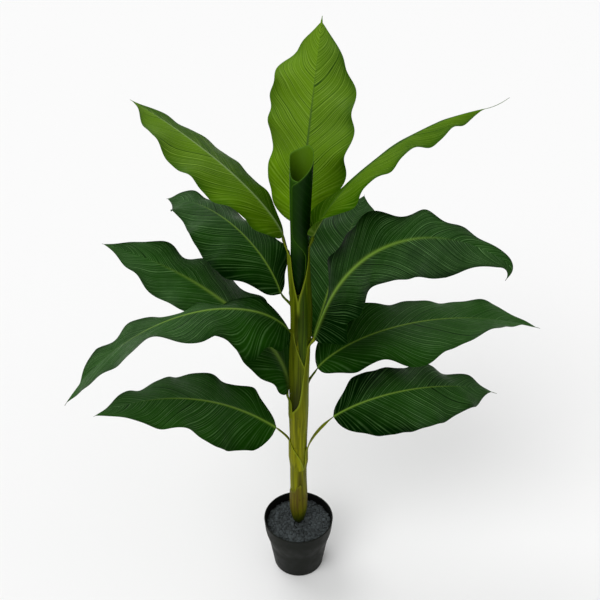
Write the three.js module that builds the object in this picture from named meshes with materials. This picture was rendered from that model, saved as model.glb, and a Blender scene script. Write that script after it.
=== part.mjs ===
// Artificial alocasia in a filled pot: a cane clasped by leaf sheaths, eleven blades
// that arch out from it on short stalks, and one young leaf still rolled up at the top.
// Millimetres, +Z up. The origin is the middle of the pot's flat underside.
// Bearings run from +X (0 degrees) over +Y (90 degrees), and -Y is the front.

import * as THREE from 'three';

const { degToRad, lerp, radToDeg, smoothstep } = THREE.MathUtils;

// Space between pieces that rest on each other
const clearance = 0.3;

// Pot: a tapered tub whose wall bends out slowly to a steeper collar, and its heavy fill
const potHeight = 122;
const potRimRadius = 70.3;
const potFootRadius = 50.6;
const potFootRound = 3;
const potFootSteps = 3;
const potTaper = 0.15;
const collarTaper = 0.08;
const bendLow = 62;
const bendHigh = 102;
const bendSteps = 5;
const potWall = 2.6;
const potFloor = 4;
const rimRound = 1.3;
const fillTop = 104;
const roundSides = 40;

// Cane: [height, radius] from its flat cut on the fill to its top
const caneFoot = fillTop + clearance;
const caneTop = 660;
const caneShoulder = 640;
const caneProfile = [
  [caneFoot, 4],
  [107, 7],
  [111, 9.8],
  [117, 12.6],
  [130, 15.2],
  [150, 16.4],
  [178, 16.8],
  [caneShoulder, 16.7],
  [652, 15.4],
  [caneTop, 12.5],
];
const caneSides = 28;

// The cane bends aside once: how far, at what height and over what reach, and its rows there
const caneBend = 5.5;
const caneBendHeight = 610;
const caneBendReach = 80;
const caneStraightTop = 420;
const caneRowStep = 20;

// Sheaths and stalks: a band that clasps the cane, narrows upwards and leans out to its blade
const sheathStandOff = 1;
const sheathThick = 2.1;
const sheathEdge = 0.5;
const sheathNarrowing = 1.3;
const openRun = 0.3;
const stalkHalf = 5.2;
const stalkDepthShare = 1.5;
const stalkReach = 0.4;
const stalkFlattening = 2;
const sheathRows = 5;
const stalkRows = 4;
const widestStep = 20;

// Dry sheath round the foot of the cane
const footSheath = { low: 110, top: 217, hold: 0.8, turn: 288, wrap: 168, tip: 110, inset: -0.4 };

// Blades: width along the blade follows s^bladeFull * (1 - s)^bladeSlim
const bladeFull = 0.56;
const bladeSlim = 0.92;
const bladeThickShare = 0.0108;
const ribShare = 0.7;
const tipHalf = 1.2;
const bladeStations = 26;
const stationEasing = 0.5;
const ribSteps = 8;
const bladeAcross = [-1, -0.62, -0.26, 0, 0.26, 0.62, 1];
const curlTurns = 1.3;
const rippleHeight = 7;
const rippleTurns = 4.3;
const waveOnset = 6;
const waveEnding = 5;
const wavePower = 1.5;
const edgeTurns = 1.6;
const cupEnd = 0.4;

// Leaf schedule. clasp: the sheath's lowest and highest point, its bearing and half angle, the
// share of its height that keeps that angle, the half angle left at its top where that is wide,
// and how far it lies inside the cane's skin.
// base: where the blade starts, neck: its half width there. rise and fall: the midrib's slope at
// base and tip, bend: how late it changes. turn and sweep: its bearing and how far that swings.
// roll and twist: the same about the midrib. half: width of the left and right half, fold: their
// slope to the midrib, cup: what is added to that slope at the base, broad: width added there.
// curl: height of the long wave in the margins. phase: start of the long wave and of the ripple,
// calm: the share of both that each half shows. edge: scallops in the outline of each half, as the
// slow ones' depth and start and the quick ones' depth, number and start.
const leaves = [
  {
    name: 'crown', young: true, base: [-0.4, 70, 755.5], neck: 4,
    clasp: { low: caneTop + clearance, top: 690, turn: 90, wrap: 26, inset: 7.2 },
    length: 333, rise: 66, fall: 74, bend: 1, turn: 74, sweep: -8, roll: 14, twist: -17,
    half: [82, 81], fold: [-3, -2], curl: 14, phase: [0.35, 0.77, 0.12, 0.58],
    edge: [[6, 0.09, 5, 3.9, 0.89], [1, 0.09, 2, 5.9, 1]],
  },
  {
    name: 'upper_left', young: true, base: [-24, 6, 766], neck: 3.5,
    clasp: { low: 632, top: 735, turn: 176, wrap: 85, open: 48 },
    length: 351, rise: 82, fall: 15, bend: 0.35, turn: 159, sweep: -14, roll: -7, twist: 3,
    half: [77, 66], fold: [-7, -14], curl: 7, phase: [0.12, 0.02, 0.2, 0.4],
    edge: [[4, 0.04, 2, 4.8, 0.97], [3, 0.35, 6, 3.4, 0.35]],
  },
  {
    name: 'upper_right', young: true, base: [23.3, -16, 778], neck: 4,
    clasp: { low: 604, top: 742, hold: 0.36, turn: 358, wrap: 91 },
    length: 364, rise: 65, fall: 4, bend: 0.73, turn: 26, sweep: -7, roll: 14, twist: -24,
    half: [40, 53], fold: [-29, 0], cup: [47, 45], broad: [26, 27], calm: [0.15, 1],
    curl: 6, phase: [0.75, 0.68, 0.79, 0.86],
  },
  {
    name: 'shoulder_left', young: false, base: [-30, 21, 646], neck: 2.2,
    clasp: { low: 572, top: 618, turn: 138, wrap: 20 },
    length: 328, rise: 70, fall: -19, bend: 0.71, turn: 138, sweep: 1, roll: -11, twist: 27,
    half: [79, 63], fold: [-12, -12], curl: 14, phase: [0.28, 0.01, 0.89, 0.4],
    edge: [[2, 0.86, 4, 3.9, 0.11], [2, 0.04, 3, 6.9, 0.28]],
  },
  {
    name: 'shoulder_back', young: false, base: [26, 36, 549], neck: 3,
    clasp: { low: 500, top: 536, turn: 54, wrap: 26 },
    length: 300, rise: 64, fall: 16, bend: 0.84, turn: 56, sweep: 15, roll: 21, twist: -28,
    half: [106, 83], fold: [-7, -1], curl: 6, phase: [0.37, 0.82, 0.33, 0.57],
    edge: [[2, 0.3, 3, 4.6, 0.1], [4, 0.8, 6, 3.9, 0.61]],
  },
  {
    name: 'shoulder_right', young: false, base: [27, -19, 582], neck: 4.5,
    clasp: { low: 400, top: 545, turn: 326, wrap: 88 },
    length: 446, rise: 74, fall: -27, bend: 1.61, turn: 339, sweep: -11, roll: -8, twist: -16,
    half: [64, 83], fold: [19, -28], cup: [-26, 0], curl: 15, phase: [0.74, 0.63, 0.19, 0.2],
    edge: [[3, 0.26, 5, 6.8, 0.73], [5, 0.86, 5, 3.6, 0.68]],
  },
  {
    name: 'middle_back', young: false, base: [-22, 4, 443], neck: 4.2,
    clasp: { low: 372, top: 426, turn: 200, wrap: 46 },
    length: 457, rise: 105, fall: 8, bend: 0.45, turn: 163, sweep: 2, roll: -13, twist: 35,
    half: [79, 86], fold: [-9, -7], cup: [0, 18], curl: 6, phase: [0.69, 0.08, 0.71, 0.72],
    edge: [[2, 0.97, 3, 6.9, 0.04], [4, 0.72, 7, 7, 0.8]],
  },
  {
    name: 'middle_left', young: false, base: [-14, -12, 588], neck: 4.5,
    clasp: { low: 506, top: 584, turn: 204, wrap: 80 },
    length: 455, rise: 64, fall: -53, bend: 0.7, turn: 202, sweep: 1, roll: 10, twist: -41,
    half: [96, 57], fold: [-7, -5], curl: 17, phase: [0.45, 0.25, 0.52, 0.59],
    edge: [[8, 0.99, 8, 5, 0.86], [2, 0.42, 6, 6.8, 0.69]],
  },
  {
    name: 'middle_right', young: false, base: [35, 9, 494], neck: 2,
    clasp: { low: 436, top: 466, turn: 75, wrap: 14 },
    length: 448, rise: 59, fall: -23, bend: 0.51, turn: 11, sweep: 1, roll: -10, twist: 19,
    half: [72, 86], fold: [8, -2], curl: 12, phase: [0.12, 0.17, 0, 0.17],
    edge: [[3, 0.79, 5, 4.8, 0.15], [7, 0.55, 8, 3.4, 0.78]],
  },
  {
    name: 'lower_left', young: false, base: [-42, -9, 368], neck: 2,
    clasp: { low: 252, top: 330, turn: 192, wrap: 104 },
    length: 368, rise: 45, fall: -4, bend: 1.36, turn: 197, sweep: 16, roll: 31, twist: -30,
    half: [84, 70], fold: [-9, -9], curl: 6, phase: [0.49, 0.98, 0.55, 0.55],
    edge: [[3, 0.78, 5, 3, 0.02], [5, 0.38, 4, 3, 0.81]],
  },
  {
    name: 'lower_right', young: false, base: [65, -17, 401], neck: 2.2,
    clasp: { low: 250, top: 306, turn: 338, wrap: 38 },
    length: 338, rise: 39, fall: -32, bend: 0.82, turn: 3, sweep: 21, roll: -19, twist: -2,
    half: [69, 79], fold: [-13, -7], curl: 7, phase: [0.95, 0.11, 0.6, 0.96],
    edge: [[4, 0.15, 6, 3, 0.52], [2, 0, 3, 3.8, 0.16]],
  },
];

// Rolled young leaf: a scroll that widens upwards, leans a little and ends in a slanting mouth
const scrollLean = 5;
const scrollForward = 4;
const scrollForwardEnd = 0.4;
const scrollTurns = 1.25;
const scrollPitch = 0.24;
const scrollThickShare = 0.145;
const scrollStart = 300;
const scrollRadius = [
  [0, 6.6],
  [0.1, 10.5],
  [0.2, 14.5],
  [0.3, 15.4],
  [0.42, 16],
  [0.6, 18.2],
  [0.8, 20.3],
  [1, 21.3],
];
const scrollMouth = [
  [-150, 858],
  [-105, 876],
  [-60, 890],
  [-15, 905],
  [12, 918],
  [52, 923],
  [102, 916],
  [170, 910],
  [192, 887],
  [300, 872],
];
const scrollAcross = 31;
const scrollRows = 10;

// Colours
const youngGreen = 0x5b7a2c;
const matureGreen = 0x2d4626;
const stemGreen = 0x57601a;
const dryBrown = 0x4f4a21;
const potBlack = 0x242622;
const fillGrey = 0x2a2d2b;

// Roughness of the finishes
const potRoughness = 0.55;
const fillRoughness = 0.95;
const stemRoughness = 0.5;
const dryRoughness = 0.8;
const leafRoughness = 0.42;

function finish(color, roughness) {
  return new THREE.MeshStandardMaterial({ color, roughness, metalness: 0 });
}

function named(name, geometry, material) {
  const mesh = new THREE.Mesh(geometry, material);
  mesh.name = name;
  return mesh;
}

// Straight-line reading of a list of [place, value] pairs
function readProfile(profile, place) {
  const next = profile.findIndex((pair) => pair[0] >= place);
  if (next === 0) return profile[0][1];
  if (next < 0) return profile[profile.length - 1][1];
  const [lowPlace, lowValue] = profile[next - 1];
  const [highPlace, highValue] = profile[next];
  return lerp(lowValue, highValue, (place - lowPlace) / (highPlace - lowPlace));
}

// Closed skin over bands. A band has an upper and a lower edge, each from left to right,
// and the bands follow each other forwards.
function bandSolid(bands) {
  const across = bands[0].upper.length;
  const around = 2 * across;
  const positions = [];
  for (const band of bands) {
    for (const point of [...band.upper, ...band.lower.toReversed()]) {
      positions.push(point.x, point.y, point.z);
    }
  }
  const index = [];
  for (let row = 0; row + 1 < bands.length; row += 1) {
    for (let side = 0; side < around; side += 1) {
      const near = row * around + side;
      const nearNext = row * around + ((side + 1) % around);
      const far = near + around;
      const farNext = nearNext + around;
      index.push(near, nearNext, farNext, near, farNext, far);
    }
  }
  const last = (bands.length - 1) * around;
  for (let step = 0; step + 1 < across; step += 1) {
    const above = step;
    const aboveNext = step + 1;
    const below = around - 1 - step;
    const belowNext = below - 1;
    index.push(above, below, belowNext, above, belowNext, aboveNext);
    index.push(last + above, last + belowNext, last + below);
    index.push(last + above, last + aboveNext, last + belowNext);
  }
  const geometry = new THREE.BufferGeometry();
  geometry.setAttribute('position', new THREE.Float32BufferAttribute(positions, 3));
  geometry.setIndex(index);
  geometry.computeVertexNormals();
  return geometry;
}

// Forward, right and up directions of a rib of given slope, bearing and roll
function ribFrame(slope, bearing, roll) {
  const e = degToRad(slope);
  const a = degToRad(bearing);
  const r = degToRad(roll);
  const forward = new THREE.Vector3(Math.cos(e) * Math.cos(a), Math.cos(e) * Math.sin(a), Math.sin(e));
  const levelRight = new THREE.Vector3(Math.sin(a), -Math.cos(a), 0);
  const levelUp = new THREE.Vector3().crossVectors(levelRight, forward);
  const right = levelRight.clone().multiplyScalar(Math.cos(r)).addScaledVector(levelUp, Math.sin(r));
  const up = levelUp.clone().multiplyScalar(Math.cos(r)).addScaledVector(levelRight, -Math.sin(r));
  return { forward, right, up };
}

// Band bent to an arc: the inner face lies on the given radius, the thickness goes outwards
function claspBand(middle, frame, radius, halfAngle, thick, pointsAcross) {
  const upper = [];
  const lower = [];
  for (let step = 0; step < pointsAcross; step += 1) {
    const t = (2 * step) / (pointsAcross - 1) - 1;
    const angle = degToRad(halfAngle * t);
    const inward = frame.up.clone().multiplyScalar(Math.cos(angle));
    inward.addScaledVector(frame.right, -Math.sin(angle));
    const point = middle.clone().addScaledVector(frame.right, radius * Math.sin(angle));
    point.addScaledVector(frame.up, radius * (1 - Math.cos(angle)));
    upper.push(point);
    lower.push(point.clone().addScaledVector(inward, -thick * (1 - sheathEdge * t * t)));
  }
  return { upper, lower };
}

// Heights over a sheath: its foot, the cane's own bends, and even rows where it narrows
function claspHeights(clasp) {
  const heights = [clasp.low];
  const narrowsFrom = lerp(clasp.low, clasp.top, clasp.hold ?? 0);
  const firstRow = clasp.hold ? 0 : 1;
  for (let row = firstRow; row <= sheathRows; row += 1) {
    heights.push(lerp(narrowsFrom, clasp.top, row / sheathRows));
  }
  for (const [height] of caneProfile) {
    if (height > clasp.low && height < clasp.top) heights.push(height);
  }
  return heights.sort((a, b) => a - b);
}

// Inner radius of a clasp: just off the cane, and straight on above the cane's shoulder
function claspRadius(clasp, height) {
  const onCane = readProfile(caneProfile, Math.min(height, caneShoulder));
  return onCane + sheathStandOff - (clasp.inset ?? 0);
}

// Where the cane's middle lies at a height: it bends aside once
function caneMiddle(height) {
  const shift = caneBend * Math.exp(-(((height - caneBendHeight) / caneBendReach) ** 2));
  return new THREE.Vector3(shift, 0, height);
}

// Bands of a sheath on the cane, from its widest clasp up to the half angle at its top
function sheathBands(clasp, topHalfAngle, pointsAcross) {
  const bands = [];
  for (const height of claspHeights(clasp)) {
    const v = (height - clasp.low) / (clasp.top - clasp.low);
    const radius = claspRadius(clasp, height);
    const frame = ribFrame(90, clasp.turn, 0);
    const middle = caneMiddle(height).addScaledVector(frame.up, -radius);
    const hold = clasp.hold ?? 0;
    const narrowing = clasp.open ? 1 : sheathNarrowing;
    const open = 1 - (1 - Math.max(0, v - hold) / (1 - hold)) ** narrowing;
    const halfAngle = lerp(clasp.wrap, topHalfAngle, open);
    bands.push(claspBand(middle, frame, radius, halfAngle, sheathThick, pointsAcross));
  }
  return bands;
}

// Odd number of points that keeps a clasp's chords off the cane
function pointsFor(wrap) {
  return 2 * Math.max(2, Math.ceil(wrap / widestStep)) + 1;
}

// Shorter way round from one bearing to another
function swing(from, to) {
  return ((to - from + 540) % 360) - 180;
}

// Sheath and stalk: up the cane, then on a smooth curve to just short of the blade's base
function stalkSolid(leaf) {
  const { clasp } = leaf;
  const pointsAcross = pointsFor(clasp.wrap);
  const topRadius = claspRadius(clasp, clasp.top);
  const topHalfAngle = clasp.open ?? radToDeg(stalkHalf / topRadius);
  const topHalf = degToRad(topHalfAngle) * topRadius;
  const bands = sheathBands(clasp, topHalfAngle, pointsAcross);
  const foot = ribFrame(90, clasp.turn, 0);
  const neck = ribFrame(leaf.rise, leaf.turn, leaf.roll);
  const start = caneMiddle(clasp.top).addScaledVector(foot.up, -topRadius);
  const end = new THREE.Vector3(...leaf.base).addScaledVector(neck.forward, -clearance);
  const reach = stalkReach * start.distanceTo(end);
  const curve = new THREE.CubicBezierCurve3(
    start,
    start.clone().addScaledVector(foot.forward, reach),
    end.clone().addScaledVector(neck.forward, -reach),
    end,
  );
  for (let row = 1; row <= stalkRows; row += 1) {
    const v = row / stalkRows;
    const ease = smoothstep(v, 0, 1);
    const bearing = clasp.turn + swing(clasp.turn, leaf.turn) * ease;
    const frame = ribFrame(lerp(90, leaf.rise, ease), bearing, leaf.roll * ease);
    const radius = lerp(topRadius, stalkFlattening * topRadius, ease);
    const slim = clasp.open ? smoothstep(v, 0, openRun) : ease;
    const halfAngle = radToDeg(lerp(topHalf, leaf.neck, slim) / radius);
    const thick = lerp(sheathThick, stalkDepthShare * leaf.neck, ease);
    bands.push(claspBand(curve.getPoint(v), frame, radius, halfAngle, thick, pointsAcross));
  }
  return bandSolid(bands);
}

// Share of the greatest width at s along the blade
function outline(s) {
  const peak = bladeFull / (bladeFull + bladeSlim);
  const top = peak ** bladeFull * (1 - peak) ** bladeSlim;
  return (s ** bladeFull * (1 - s) ** bladeSlim) / top;
}

// Rib frame of a leaf at s along its blade
function leafFrame(leaf, s) {
  const slope = leaf.rise + (leaf.fall - leaf.rise) * s ** leaf.bend;
  return ribFrame(slope, leaf.turn + leaf.sweep * s, leaf.roll + leaf.twist * s);
}

// Share of the waves at s along the blade: none at its base and tip
function waveShare(s) {
  return Math.min(1, waveOnset * s) * Math.min(1, waveEnding * (1 - s));
}

// Height of a margin's waves over its half, at s along and t across
function marginWave(leaf, side, s, t) {
  const long = leaf.curl * Math.sin(2 * Math.PI * (curlTurns * s + leaf.phase[side]));
  const short = rippleHeight * Math.sin(2 * Math.PI * (rippleTurns * s + leaf.phase[2 + side]));
  const share = waveShare(s) * (leaf.calm ? leaf.calm[side] : 1);
  return t ** wavePower * share * (long + short);
}

// Scallops of one half's margin at s along the blade
function scallop(leaf, side, s) {
  if (!leaf.edge) return 0;
  const [slowDepth, slowStart, quickDepth, quickTurns, quickStart] = leaf.edge[side];
  const slow = slowDepth * Math.sin(2 * Math.PI * (edgeTurns * s + slowStart));
  const quick = quickDepth * Math.sin(2 * Math.PI * (quickTurns * s + quickStart));
  return waveShare(s) * (slow + quick);
}

// Width of one half at s along the blade: outline, extra breadth near the base, and scallops
function halfWidth(leaf, side, s) {
  const smooth = Math.hypot(leaf.half[side] * outline(s), lerp(leaf.neck, tipHalf, s));
  const swell = Math.sin(Math.PI * Math.sqrt(Math.min(1, s / cupEnd)));
  const broad = leaf.broad ? leaf.broad[side] * swell : 0;
  return smooth + broad + scallop(leaf, side, s);
}

// Slope of one half to the midrib at s along the blade, in radians
function halfFold(leaf, side, s) {
  const cup = leaf.cup ? leaf.cup[side] * Math.max(0, 1 - s / cupEnd) ** 2 : 0;
  return degToRad(leaf.fold[side] + cup);
}

// Blade: two halves folded on a midrib that rises, bends over and falls
function bladeSolid(leaf) {
  const bands = [];
  const middle = new THREE.Vector3(...leaf.base);
  const thin = bladeThickShare * leaf.length;
  let reached = 0;
  for (let station = 0; station <= bladeStations; station += 1) {
    const even = station / bladeStations;
    const s = lerp(even, (1 - Math.cos(Math.PI * even)) / 2, stationEasing);
    for (let step = 0; step < ribSteps; step += 1) {
      const at = lerp(reached, s, (step + 0.5) / ribSteps);
      middle.addScaledVector(leafFrame(leaf, at).forward, (leaf.length * (s - reached)) / ribSteps);
    }
    reached = s;
    const frame = leafFrame(leaf, s);
    const upper = [];
    const lower = [];
    for (const t of bladeAcross) {
      const side = t < 0 ? 0 : 1;
      const way = t < 0 ? -1 : 1;
      const depth = Math.abs(t);
      const fold = halfFold(leaf, side, s);
      const half = halfWidth(leaf, side, s);
      const lift = depth * half * Math.sin(fold) + marginWave(leaf, side, s, depth);
      const point = middle.clone().addScaledVector(frame.right, way * depth * half * Math.cos(fold));
      point.addScaledVector(frame.up, lift);
      const rib = depth === 0 ? ribShare * leaf.neck * (1 - s) : 0;
      upper.push(point);
      lower.push(point.clone().addScaledVector(frame.up, -(thin / Math.cos(fold) + rib)));
    }
    bands.push({ upper, lower });
  }
  return bandSolid(bands);
}

// Scroll: a spiral band whose bands climb from the cane's top to the mouth
function scrollSolid() {
  const low = caneTop + clearance;
  const bands = [];
  for (let row = 0; row <= scrollRows; row += 1) {
    const v = row / scrollRows;
    const outer = readProfile(scrollRadius, v);
    const forward = scrollForward * smoothstep(v, 0, scrollForwardEnd);
    const upper = [];
    const lower = [];
    for (let step = 0; step < scrollAcross; step += 1) {
      const share = step / (scrollAcross - 1);
      const bearing = scrollStart - 360 * scrollTurns * share;
      const radius = outer * (1 - scrollPitch * (1 - share));
      const inner = radius - outer * scrollThickShare;
      const height = lerp(low, readProfile(scrollMouth, bearing), v);
      const outward = new THREE.Vector3(Math.cos(degToRad(bearing)), Math.sin(degToRad(bearing)), 0);
      const axis = new THREE.Vector3(scrollLean * v, -forward, height);
      upper.push(axis.clone().addScaledVector(outward, inner));
      lower.push(axis.clone().addScaledVector(outward, radius));
    }
    bands.push({ upper, lower });
  }
  return bandSolid(bands);
}

// Outside of the pot at a height: the wall's taper, then the collar's
function potOutside(height) {
  const wall = potFootRadius + potTaper * height;
  const collar = potRimRadius - collarTaper * (potHeight - height);
  return lerp(wall, collar, smoothstep(height, bendLow, bendHigh));
}

// Inside of the pot at a height
function potInside(height) {
  return potOutside(height) - potWall;
}

// Heights over the bend from wall to collar
const bendHeights = [];
for (let step = 0; step <= bendSteps; step += 1) {
  bendHeights.push(lerp(bendLow, bendHigh, step / bendSteps));
}

// Pot: rounded foot, tapering wall, bend, collar and rim, and the same wall inside
function potSolid() {
  const profile = [[0, 0]];
  for (let step = 0; step <= potFootSteps; step += 1) {
    const angle = (Math.PI / 2) * (step / potFootSteps);
    const height = potFootRound * (1 - Math.cos(angle));
    profile.push([potOutside(potFootRound) - potFootRound * (1 - Math.sin(angle)), height]);
  }
  for (const height of bendHeights) {
    profile.push([potOutside(height), height]);
  }
  profile.push(
    [potRimRadius, potHeight - rimRound],
    [potRimRadius - rimRound / 2, potHeight],
    [potRimRadius - potWall, potHeight],
  );
  for (const height of bendHeights.toReversed()) {
    profile.push([potInside(height), height]);
  }
  profile.push([potInside(potFloor), potFloor], [0, potFloor]);
  return turned(profile, roundSides);
}

// Fill: stands clear inside the pot, level on top
function fillSolid() {
  const low = potFloor + clearance;
  const gap = 2 * clearance;
  const profile = [[0, low]];
  for (const height of [low, ...bendHeights, fillTop]) {
    profile.push([potInside(height) - gap, height]);
  }
  profile.push([0, fillTop]);
  return turned(profile, roundSides);
}

// Cane: turned, with close rows where it bends
function caneSolid() {
  const profile = [[0, caneFoot]];
  for (const [height, radius] of caneProfile) {
    profile.push([radius, height]);
  }
  for (let height = caneStraightTop; height < caneShoulder; height += caneRowStep) {
    profile.push([readProfile(caneProfile, height), height]);
  }
  profile.sort((a, b) => a[1] - b[1]);
  profile.push([0, caneTop]);
  const geometry = turned(profile, caneSides);
  const place = geometry.attributes.position;
  for (let point = 0; point < place.count; point += 1) {
    place.setX(point, place.getX(point) + caneMiddle(place.getZ(point)).x);
  }
  geometry.computeVertexNormals();
  return geometry;
}

// Solid of revolution about Z from a list of [radius, height]
function turned(profile, sides) {
  const points = profile.map(([radius, height]) => new THREE.Vector2(radius, height));
  const geometry = new THREE.LatheGeometry(points, sides);
  geometry.rotateX(Math.PI / 2);
  return geometry;
}

const plant = new THREE.Group();
plant.add(named('pot', potSolid(), finish(potBlack, potRoughness)));
plant.add(named('pot_fill', fillSolid(), finish(fillGrey, fillRoughness)));
plant.add(named('cane', caneSolid(), finish(stemGreen, stemRoughness)));

const footBands = sheathBands(footSheath, footSheath.tip, pointsFor(footSheath.wrap));
plant.add(named('foot_sheath', bandSolid(footBands), finish(dryBrown, dryRoughness)));

for (const leaf of leaves) {
  const green = leaf.young ? youngGreen : matureGreen;
  plant.add(named(`stalk_${leaf.name}`, stalkSolid(leaf), finish(stemGreen, stemRoughness)));
  plant.add(named(`leaf_${leaf.name}`, bladeSolid(leaf), finish(green, leafRoughness)));
}
plant.add(named('leaf_scroll', scrollSolid(), finish(youngGreen, leafRoughness)));

export default plant;
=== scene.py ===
import math
import bpy
import numpy as np
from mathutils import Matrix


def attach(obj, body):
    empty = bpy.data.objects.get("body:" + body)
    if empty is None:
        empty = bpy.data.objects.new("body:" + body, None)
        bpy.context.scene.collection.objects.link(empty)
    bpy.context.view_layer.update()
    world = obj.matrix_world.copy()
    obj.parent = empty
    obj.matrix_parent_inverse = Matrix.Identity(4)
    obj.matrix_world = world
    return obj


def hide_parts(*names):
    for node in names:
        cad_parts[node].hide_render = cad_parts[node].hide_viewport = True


# Potted artificial alocasia. Shapes are worked out in millimetres and stored in metres.
# +Z is up, -Y is the front, the origin is the middle of the pot's underside.
# Bearings are degrees about Z from +X, so the front is at 270.
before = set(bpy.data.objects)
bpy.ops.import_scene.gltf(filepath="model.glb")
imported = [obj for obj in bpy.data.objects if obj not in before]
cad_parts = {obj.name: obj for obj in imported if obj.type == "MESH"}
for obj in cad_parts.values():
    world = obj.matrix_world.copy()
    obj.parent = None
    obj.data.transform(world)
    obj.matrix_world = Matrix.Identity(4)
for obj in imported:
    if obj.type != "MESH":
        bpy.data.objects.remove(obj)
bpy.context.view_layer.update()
print("stage: frame loaded")


# Mesh helpers

def gridQuads(rows, columns):
    # quads between the rows of a grid whose last column joins the first
    row = np.arange(rows - 1)[:, None] * columns
    column = np.arange(columns)[None, :]
    after = (column + 1) % columns
    quads = np.stack([row + column, row + after, row + columns + after, row + columns + column], axis=-1)
    return quads.reshape(-1, 4)


def fanTriangles(first, columns, middle, flip):
    # closes a ring of points with triangles to one point in its middle
    step = np.arange(columns)
    after = (step + 1) % columns
    fan = np.stack([first + step, first + after, np.full(columns, middle)], axis=-1)
    return fan[:, [1, 0, 2]] if flip else fan


def capQuads(first, columns, flip):
    # closes a flat ring of an even number of points with a strip of quads from side to side
    step = np.arange(columns // 2 - 1)
    quads = np.stack([first + step, first + columns - 1 - step,
                      first + columns - 2 - step, first + step + 1], axis=-1)
    return quads[:, ::-1] if flip else quads


def addPiece(name, points, faces, marks, finish, nodes):
    # points in millimetres, faces as a list of index arrays, marks as {attribute name: value for each point}
    mesh = bpy.data.meshes.new(name)
    allFaces = [face for group in faces for face in group.tolist()]
    mesh.from_pydata((points.reshape(-1, 3) * 0.001).tolist(), [], allFaces)
    for markName, values in marks.items():
        mark = mesh.attributes.new(markName, "FLOAT", "POINT")
        mark.data.foreach_set("value", np.ascontiguousarray(values, dtype=np.float32).ravel())
    mesh.polygons.foreach_set("use_smooth", np.ones(len(mesh.polygons), dtype=bool))
    mesh.materials.append(finish)
    mesh.update()
    piece = bpy.data.objects.new(name, mesh)
    bpy.context.scene.collection.objects.link(piece)
    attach(piece, "root")
    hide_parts(*nodes)
    return piece


def addSkin(name, upper, lower, marks, finish, nodes):
    # closed skin from two grids of rows by columns: the upper face and the lower face;
    # a mark is one grid for both faces, or a pair of grids
    rows, columns = upper.shape[:2]
    around = 2 * columns
    join = lambda top, bottom: np.concatenate([top, bottom[:, ::-1]], axis=1)
    faces = [gridQuads(rows, around), capQuads(0, around, False),
             capQuads((rows - 1) * around, around, True)]
    pairs = {key: mark if isinstance(mark, tuple) else (mark, mark) for key, mark in marks.items()}
    values = {key: join(*pair) for key, pair in pairs.items()}
    return addPiece(name, join(upper, lower), faces, values, finish, nodes)


def addTube(name, body, ends, marks, finish, nodes):
    # closed tube from a grid of rows by sides and the middle points of its two ends;
    # marks have a value for each point of the grid and then one for each end
    rows, sides = body.shape[:2]
    points = np.concatenate([body.reshape(-1, 3), ends])
    faces = [gridQuads(rows, sides), fanTriangles(0, sides, rows * sides, True),
             fanTriangles((rows - 1) * sides, sides, rows * sides + 1, False)]
    return addPiece(name, points, faces, marks, finish, nodes)


def addTurned(name, profile, sides, marks, finish, nodes):
    # profile of (radius, height) turned about Z; its two ends lie on the axis
    angle = np.linspace(0, 2 * np.pi, sides, endpoint=False)
    radius, height = profile[1:-1, 0:1], profile[1:-1, 1:2]
    body = np.stack([radius * np.cos(angle), radius * np.sin(angle), height + 0 * angle], axis=-1)
    ends = np.array([[0, 0, profile[0, 1]], [0, 0, profile[-1, 1]]])
    values = {key: np.concatenate([np.repeat(value[1:-1], sides), value[[0, -1]]])
              for key, value in marks.items()}
    return addTube(name, body, ends, values, finish, nodes)


# Number helpers

def blend(low, high, share):
    return low + (high - low) * share


def easeStep(value, low, high):
    # smooth 0 to 1 between low and high
    share = np.clip((value - low) / (high - low), 0, 1)
    return share * share * (3 - 2 * share)


def wave(turns):
    return np.sin(2 * np.pi * turns)


def bell(distance, reach):
    return np.exp(-(distance / reach) ** 2)


def bearingGap(bearing, other):
    # from -180 to 180
    return (bearing - other + 180) % 360 - 180


def pickSide(side, pair):
    # the first of a pair left of the rib, the second right of it
    return np.where(side == 0, pair[0], pair[1])


def ribFrame(slope, bearing, roll):
    # forward, right and up directions for arrays of angles in degrees
    e, a, r = np.radians(slope), np.radians(bearing), np.radians(roll)
    forward = np.stack([np.cos(e) * np.cos(a), np.cos(e) * np.sin(a), np.sin(e)], axis=-1)
    levelRight = np.stack([np.sin(a), -np.cos(a), 0 * a], axis=-1)
    levelUp = np.cross(levelRight, forward)
    cosine, sine = np.cos(r)[..., None], np.sin(r)[..., None]
    return forward, levelRight * cosine + levelUp * sine, levelUp * cosine - levelRight * sine


# Material helpers

def startFinish(name):
    finish = bpy.data.materials.new(name)
    finish.use_nodes = True
    return finish, finish.node_tree, finish.node_tree.nodes["Principled BSDF"]


def plug(tree, node, inputs):
    # inputs by name or number: another node's output is linked, a plain value is set
    for key, value in inputs.items():
        if isinstance(value, bpy.types.NodeSocket):
            tree.links.new(value, node.inputs[key])
        else:
            node.inputs[key].default_value = value


def addNode(tree, kind, settings, inputs):
    node = tree.nodes.new(kind)
    for key, value in settings.items():
        setattr(node, key, value)
    plug(tree, node, inputs)
    return node


def readMarks(tree, *names):
    return [addNode(tree, "ShaderNodeAttribute", {"attribute_name": name}, {}).outputs["Fac"]
            for name in names]


def doMath(tree, operation, first, second=0.0, third=0.0):
    inputs = {0: first, 1: second, 2: third}
    return addNode(tree, "ShaderNodeMath", {"operation": operation}, inputs).outputs[0]


def times(tree, first, second):
    return doMath(tree, "MULTIPLY", first, second)


def mapRange(tree, value, fromLow, fromHigh, toLow, toHigh):
    inputs = {0: value, 1: fromLow, 2: fromHigh, 3: toLow, 4: toHigh}
    return addNode(tree, "ShaderNodeMapRange", {"interpolation_type": "SMOOTHSTEP"}, inputs).outputs[0]


def mixColour(tree, share, first, second):
    return addNode(tree, "ShaderNodeMix", {"data_type": "RGBA"}, {0: share, 6: first, 7: second}).outputs[2]


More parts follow.
